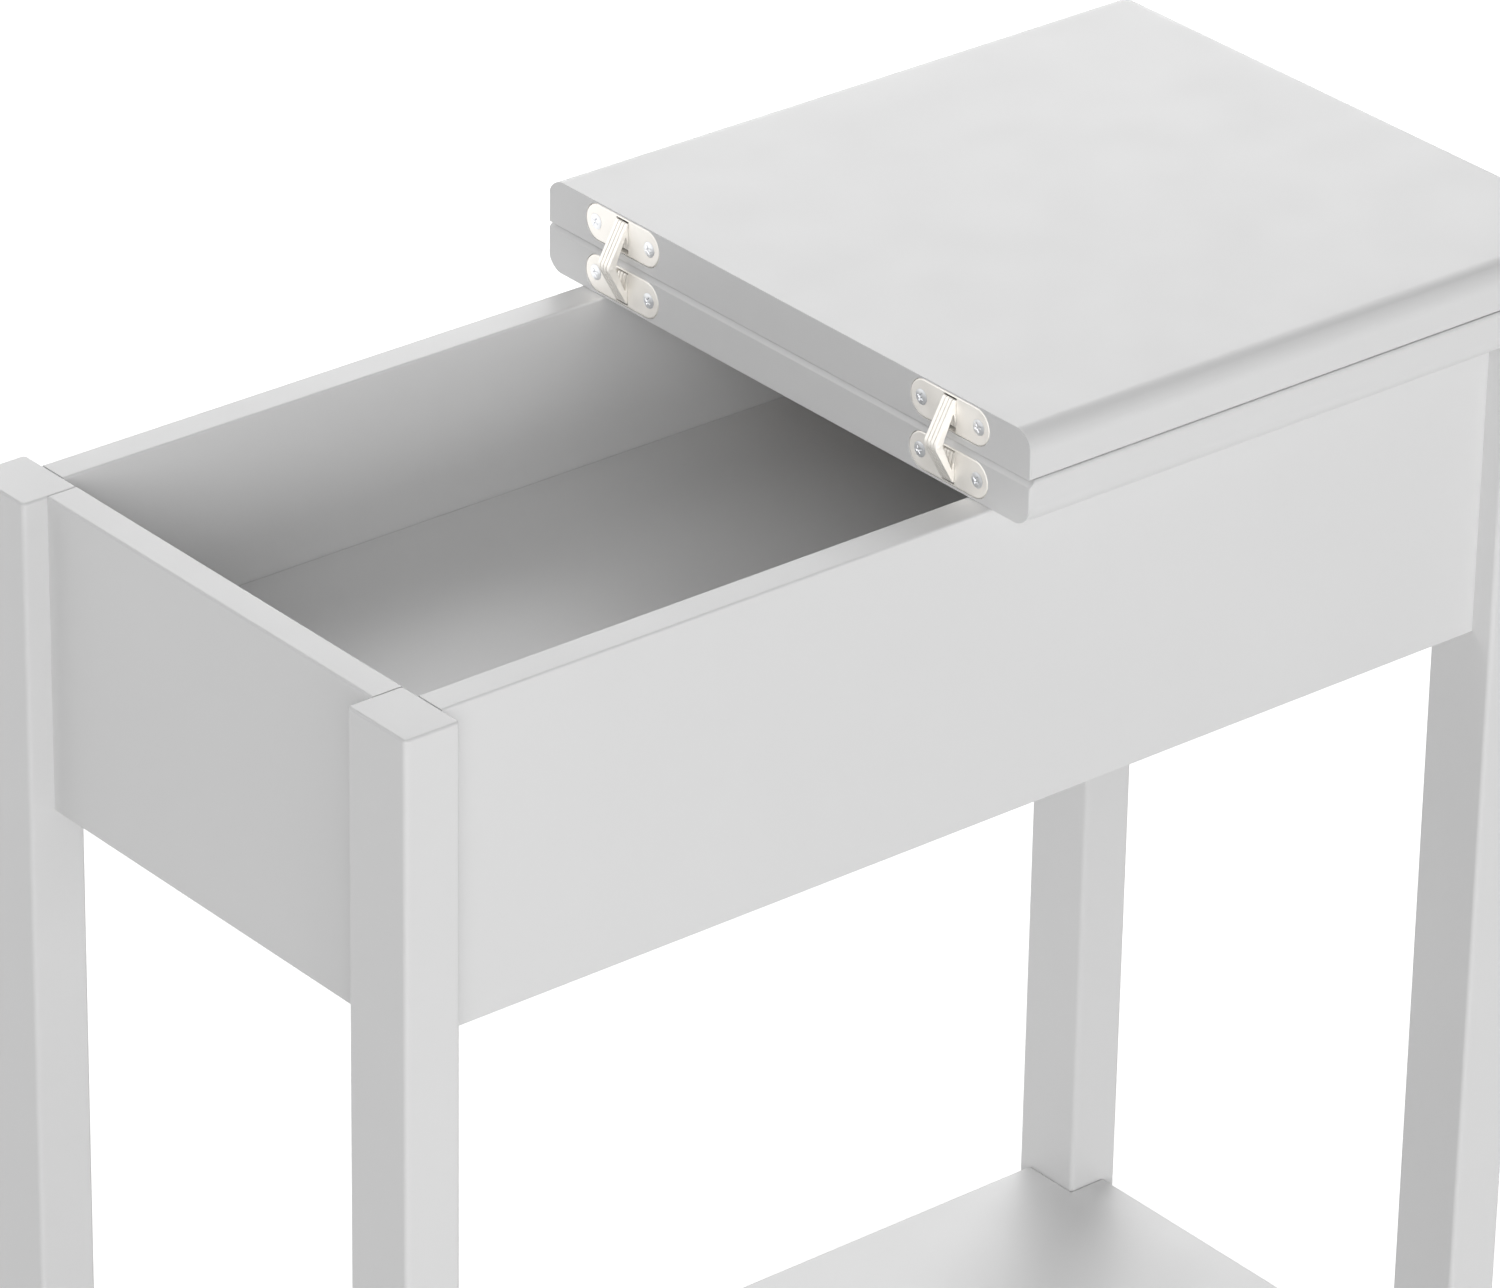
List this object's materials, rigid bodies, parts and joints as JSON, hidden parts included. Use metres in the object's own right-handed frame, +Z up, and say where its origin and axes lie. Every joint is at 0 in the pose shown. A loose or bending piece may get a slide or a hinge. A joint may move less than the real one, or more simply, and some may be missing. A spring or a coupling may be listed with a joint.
{
  "type": "flip top end table",
  "caption": "Narrow end table with an open storage box and a lower shelf. Its top has a fixed leaf and a leaf that turns over on concealed hinges.",
  "frame": {"origin": "on the floor, under the middle of the table with its top folded open", "axes": "+Z up, +X along the table towards the fixed leaf, +Y across it towards the back"},
  "size_m": [0.581, 0.286, 0.6301],
  "materials": {
    "painted_board": "satin white paint",
    "bare_wood": "planed",
    "glide_plastic": "moulded",
    "hinge_metal": "polished nickel plate",
    "screw_steel": "nickel plated",
    "pin_steel": "drawn"
  },
  "bodies": {
    "table": {"front_left_leg": "painted_board", "front_right_leg": "painted_board", "back_left_leg": "painted_board", "back_right_leg": "painted_board", "left_end_panel": "painted_board", "right_end_panel": "painted_board", "front_panel": "painted_board", "back_panel": "painted_board", "box_floor": "painted_board", "lower_shelf": "painted_board", "fixed_leaf": "painted_board", "front_cleat": "bare_wood", "back_cleat": "bare_wood", "panel_dowels": "bare_wood", "shelf_dowels": "bare_wood", "foot_glides": "glide_plastic", "leaf_screws": "screw_steel", "fixed_plate_screws": "screw_steel", "front_hinge_fixed_plate": "hinge_metal", "front_hinge_pivot_pin": "pin_steel", "back_hinge_fixed_plate": "hinge_metal", "back_hinge_pivot_pin": "pin_steel"},
    "flip_top": {"flip_leaf": "painted_board", "front_hinge_flip_plate": "hinge_metal", "back_hinge_flip_plate": "hinge_metal", "flip_plate_screws": "screw_steel"},
    "front_strips": {"front_hinge_strips": "hinge_metal", "front_hinge_rivet": "pin_steel", "front_hinge_guide_pin": "pin_steel"},
    "back_strips": {"back_hinge_strips": "hinge_metal", "back_hinge_rivet": "pin_steel", "back_hinge_guide_pin": "pin_steel"}
  },
  "joints": [
    {"name": "flip_turn", "type": "hinge", "parent": "table", "child": "flip_top", "pos_m": [-0.0105, 0, 0.6107], "axis": [0, -1, 0], "range_deg": [0, 180]},
    {"name": "front_strips_turn", "type": "hinge", "parent": "table", "child": "front_strips", "pos_m": [-0.0078, -0.097, 0.6043], "axis": [0, -1, 0], "range_deg": [0, 87.4]},
    {"name": "back_strips_turn", "type": "hinge", "parent": "table", "child": "back_strips", "pos_m": [-0.0078, 0.097, 0.6043], "axis": [0, -1, 0], "range_deg": [0, 87.4]}
  ],
  "couplings": [
    {"joint": "front_strips_turn", "follows": "flip_turn", "ratio": 0.48555},
    {"joint": "back_strips_turn", "follows": "flip_turn", "ratio": 0.48555}
  ]
}
